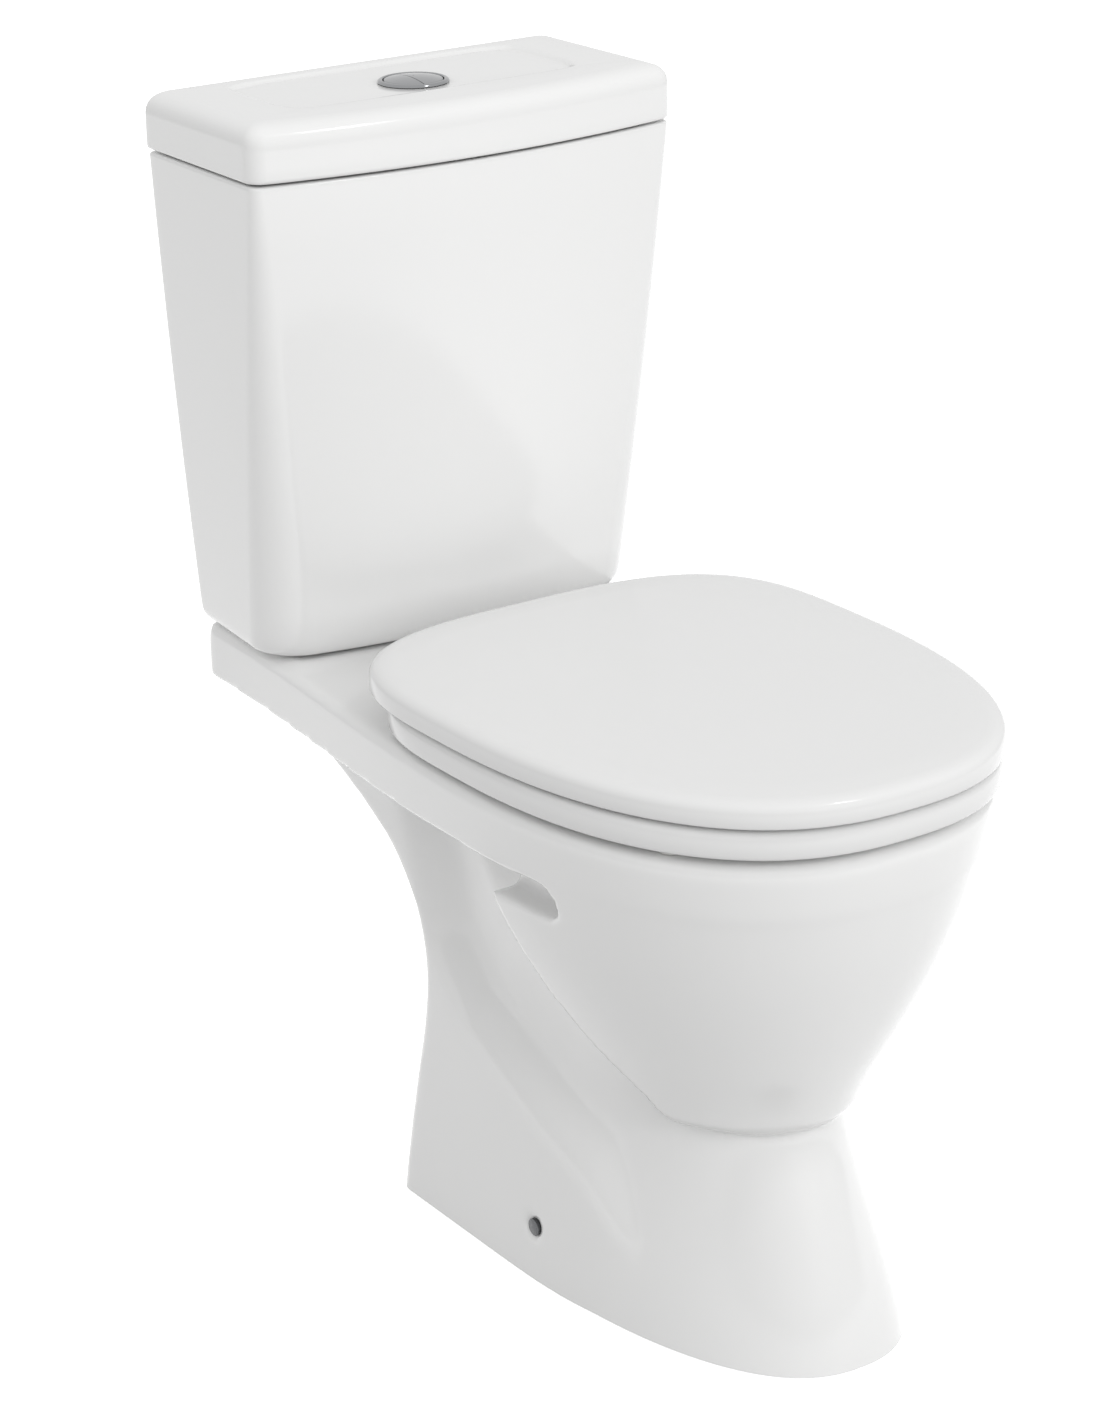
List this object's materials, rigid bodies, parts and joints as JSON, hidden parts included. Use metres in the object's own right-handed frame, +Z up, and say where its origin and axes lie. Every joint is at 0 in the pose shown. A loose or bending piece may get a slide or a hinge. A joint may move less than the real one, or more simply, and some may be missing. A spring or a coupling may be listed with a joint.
{
  "type": "close coupled toilet",
  "caption": "Floor-standing close coupled toilet: glazed ceramic pan and cistern, push-button flush, hinged plastic seat and lid, with flush and fill valves inside.",
  "frame": {"origin": "on the floor, at the centre of the object's footprint", "axes": "+Z up, the front of the bowl faces -Y, the wall is at +Y"},
  "size_m": [0.3568, 0.654, 0.8016],
  "materials": {
    "glazed_ceramic": "white glaze, high gloss",
    "seat_plastic": "white, moulded, glossy",
    "white_plastic": "white, moulded",
    "grey_plastic": "grey, moulded",
    "blue_plastic": "blue, moulded",
    "black_rubber": "black, matt",
    "pale_rubber": "white, matt",
    "chrome": "bright plated",
    "brass": "plain turned",
    "steel": "plain stainless"
  },
  "bodies": {
    "fixed_body": {"pan": "glazed_ceramic", "pan_bowl": "glazed_ceramic", "pan_casing_front": "glazed_ceramic", "pan_casing_back": "glazed_ceramic", "floor_bracket_left": "grey_plastic", "floor_bracket_right": "grey_plastic", "fixing_screw_left": "steel", "fixing_screw_right": "steel", "cistern": "glazed_ceramic", "close_coupling_gasket": "black_rubber", "coupling_bolt_left": "brass", "coupling_bolt_right": "brass", "bolt_seal_left": "black_rubber", "bolt_seal_right": "black_rubber", "wing_nut_left": "brass", "wing_nut_right": "brass", "flush_valve_base": "white_plastic", "flush_valve_base_seal": "black_rubber", "flush_valve_backnut": "white_plastic", "flush_valve_tower": "white_plastic", "fill_valve_riser": "white_plastic", "fill_valve_seal": "black_rubber", "fill_valve_backnut": "white_plastic", "fill_valve_head": "white_plastic", "hinge_post_left": "chrome", "hinge_post_right": "chrome", "hinge_pin_left": "steel", "hinge_pin_right": "steel", "hinge_stud_left": "steel", "hinge_stud_right": "steel", "hinge_plug_left": "black_rubber", "hinge_plug_right": "black_rubber", "hinge_nut_left": "brass", "hinge_nut_right": "brass"},
    "cistern_cover": {"cistern_lid": "glazed_ceramic", "button_collar": "chrome", "button_collar_nut": "white_plastic", "half_flush_spring": "steel", "full_flush_spring": "steel"},
    "half_button": {"half_flush_button": "chrome", "half_flush_rod": "white_plastic"},
    "full_button": {"full_flush_button": "chrome", "full_flush_rod": "white_plastic"},
    "half_rocker": {"half_flush_rocker": "blue_plastic"},
    "full_rocker": {"full_flush_rocker": "blue_plastic"},
    "piston": {"flush_piston": "blue_plastic", "flush_piston_seal": "black_rubber"},
    "float": {"float_cup": "grey_plastic", "float_link": "white_plastic"},
    "lever": {"float_lever": "white_plastic"},
    "seat": {"seat_ring": "seat_plastic", "ring_buffer_front_left": "pale_rubber", "ring_buffer_front_right": "pale_rubber", "ring_buffer_back_left": "pale_rubber", "ring_buffer_back_right": "pale_rubber"},
    "seat_cover": {"seat_lid": "seat_plastic", "lid_buffer_front_left": "pale_rubber", "lid_buffer_front_right": "pale_rubber", "lid_buffer_back_left": "pale_rubber", "lid_buffer_back_right": "pale_rubber"}
  },
  "joints": [
    {"name": "seat_ring_hinge", "type": "hinge", "parent": "fixed_body", "child": "seat", "pos_m": [0, 0.101, 0.42], "axis": [-1, 0, 0], "range_deg": [0, 92.5]},
    {"name": "seat_lid_hinge", "type": "hinge", "parent": "seat", "child": "seat_cover", "pos_m": [0, 0.101, 0.42], "axis": [1, 0, 0], "range_deg": [-94, 0]},
    {"name": "cistern_lid_lift", "type": "slide", "parent": "fixed_body", "child": "cistern_cover", "axis": [0, 0, 1], "range_m": [0, 0.12]},
    {"name": "full_flush_press", "type": "slide", "parent": "cistern_cover", "child": "full_button", "axis": [0, 0, 1], "range_m": [-0.006, 0], "stiffness_N_per_m": 300, "springref_m": 0.01, "deforming": ["full_flush_spring"]},
    {"name": "half_flush_press", "type": "slide", "parent": "cistern_cover", "child": "half_button", "axis": [0, 0, 1], "range_m": [-0.006, 0], "stiffness_N_per_m": 300, "springref_m": 0.01, "deforming": ["half_flush_spring"]},
    {"name": "full_rocker_turn", "type": "hinge", "parent": "fixed_body", "child": "full_rocker", "pos_m": [0.021, 0.246, 0.66], "axis": [0, 1, 0], "range_deg": [-31.5, 0]},
    {"name": "half_rocker_turn", "type": "hinge", "parent": "fixed_body", "child": "half_rocker", "pos_m": [-0.021, 0.246, 0.66], "axis": [0, 1, 0], "range_deg": [0, 31.5]},
    {"name": "piston_lift", "type": "slide", "parent": "fixed_body", "child": "piston", "axis": [0, 0, 1], "range_m": [0, 0.0074]},
    {"name": "float_rise", "type": "slide", "parent": "fixed_body", "child": "float", "axis": [0, 0, 1], "range_m": [0, 0.012]},
    {"name": "float_lever_turn", "type": "hinge", "parent": "fixed_body", "child": "lever", "pos_m": [0.108, 0.253, 0.712], "axis": [0, 1, 0], "range_deg": [0, 26.6]}
  ],
  "couplings": [
    {"joint": "full_rocker_turn", "follows": "full_flush_press", "rad_per_m": 90.9},
    {"joint": "piston_lift", "follows": "full_flush_press", "ratio": -1.217},
    {"joint": "half_rocker_turn", "follows": "half_flush_press", "rad_per_m": -90.9},
    {"joint": "float_lever_turn", "follows": "float_rise", "rad_per_m": 38.46}
  ]
}
